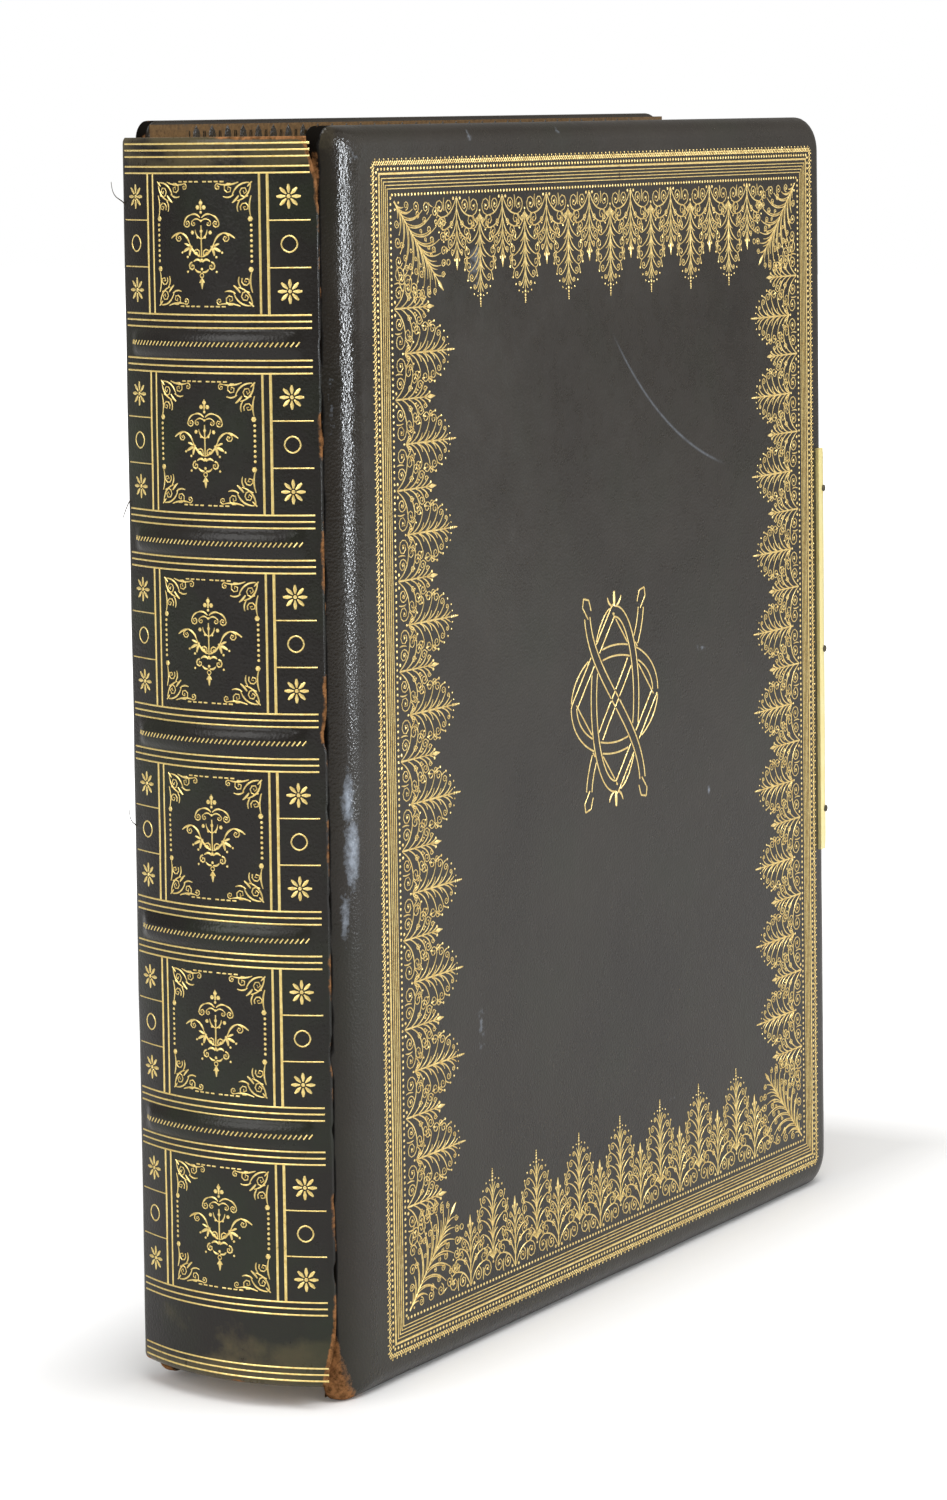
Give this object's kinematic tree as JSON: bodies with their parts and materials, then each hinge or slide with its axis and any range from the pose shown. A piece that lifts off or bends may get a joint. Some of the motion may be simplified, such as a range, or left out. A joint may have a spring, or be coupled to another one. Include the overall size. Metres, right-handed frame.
{
  "type": "photo album",
  "caption": "Closed standing photo album in dark leather: gilt-tooled hinged covers, rounded spine with raised bands, a block of thick card leaves and a brass clasp on the fore edge.",
  "frame": {"origin": "on the surface that the album stands on, below the middle of its bounding box, clasp strap included", "axes": "+X from the spine to the fore edge, +Y from the front cover to the back cover, +Z from tail to head"},
  "size_m": [0.3116, 0.056, 0.2916],
  "materials": {
    "leather": "polished dark green-black leather",
    "cover_board": "grey-brown millboard",
    "endpaper": "aged cream paper",
    "leaves": "thick cream card with gilt edges",
    "blank_card": "blank sepia card",
    "gilt": "gold leaf tooling",
    "liner": "brown card",
    "cloth": "brown binding cloth",
    "silk": "striped silk cord",
    "brass": "polished brass",
    "pin_metal": "tarnished pins"
  },
  "bodies": {
    "leaves": {"spine_leather": "leather", "spine_liner": "liner", "spine_line_gilt": "gilt", "spine_panel_gilt": "gilt", "spine_ornament_gilt": "gilt", "spine_star_gilt": "gilt", "page_block": "leaves", "front_window_card": "blank_card", "back_window_card": "blank_card", "front_window_gilt": "gilt", "back_window_gilt": "gilt", "front_hinge_cloth": "cloth", "back_hinge_cloth": "cloth", "head_band": "silk", "tail_band": "silk"},
    "front_cover": {"front_board": "cover_board", "front_leather": "leather", "front_pastedown": "endpaper", "front_turn_in_gilt": "gilt", "front_frame_gilt": "gilt", "front_border_gilt": "gilt", "front_ornament_gilt": "gilt", "catch_plate": "brass", "catch_pins": "pin_metal"},
    "back_cover": {"back_board": "cover_board", "back_leather": "leather", "back_pastedown": "endpaper", "back_turn_in_gilt": "gilt", "back_frame_gilt": "gilt", "clasp_plate": "brass", "clasp_pins": "pin_metal", "clasp_hinge_pin": "brass"},
    "clasp": {"clasp_strap": "brass"}
  },
  "joints": [
    {"name": "front_cover_hinge", "type": "hinge", "parent": "leaves", "child": "front_cover", "pos_m": [-0.14389, -0.027, 0], "axis": [0, 0, -1], "range_deg": [0, 165]},
    {"name": "back_cover_hinge", "type": "hinge", "parent": "leaves", "child": "back_cover", "pos_m": [-0.14689, 0.027, 0], "axis": [0, 0, 1], "range_deg": [0, 165]},
    {"name": "clasp_hinge", "type": "hinge", "parent": "back_cover", "child": "clasp", "pos_m": [0.10261, 0.0235, 0], "axis": [0, 0, -1], "range_deg": [-75, 90]}
  ]
}
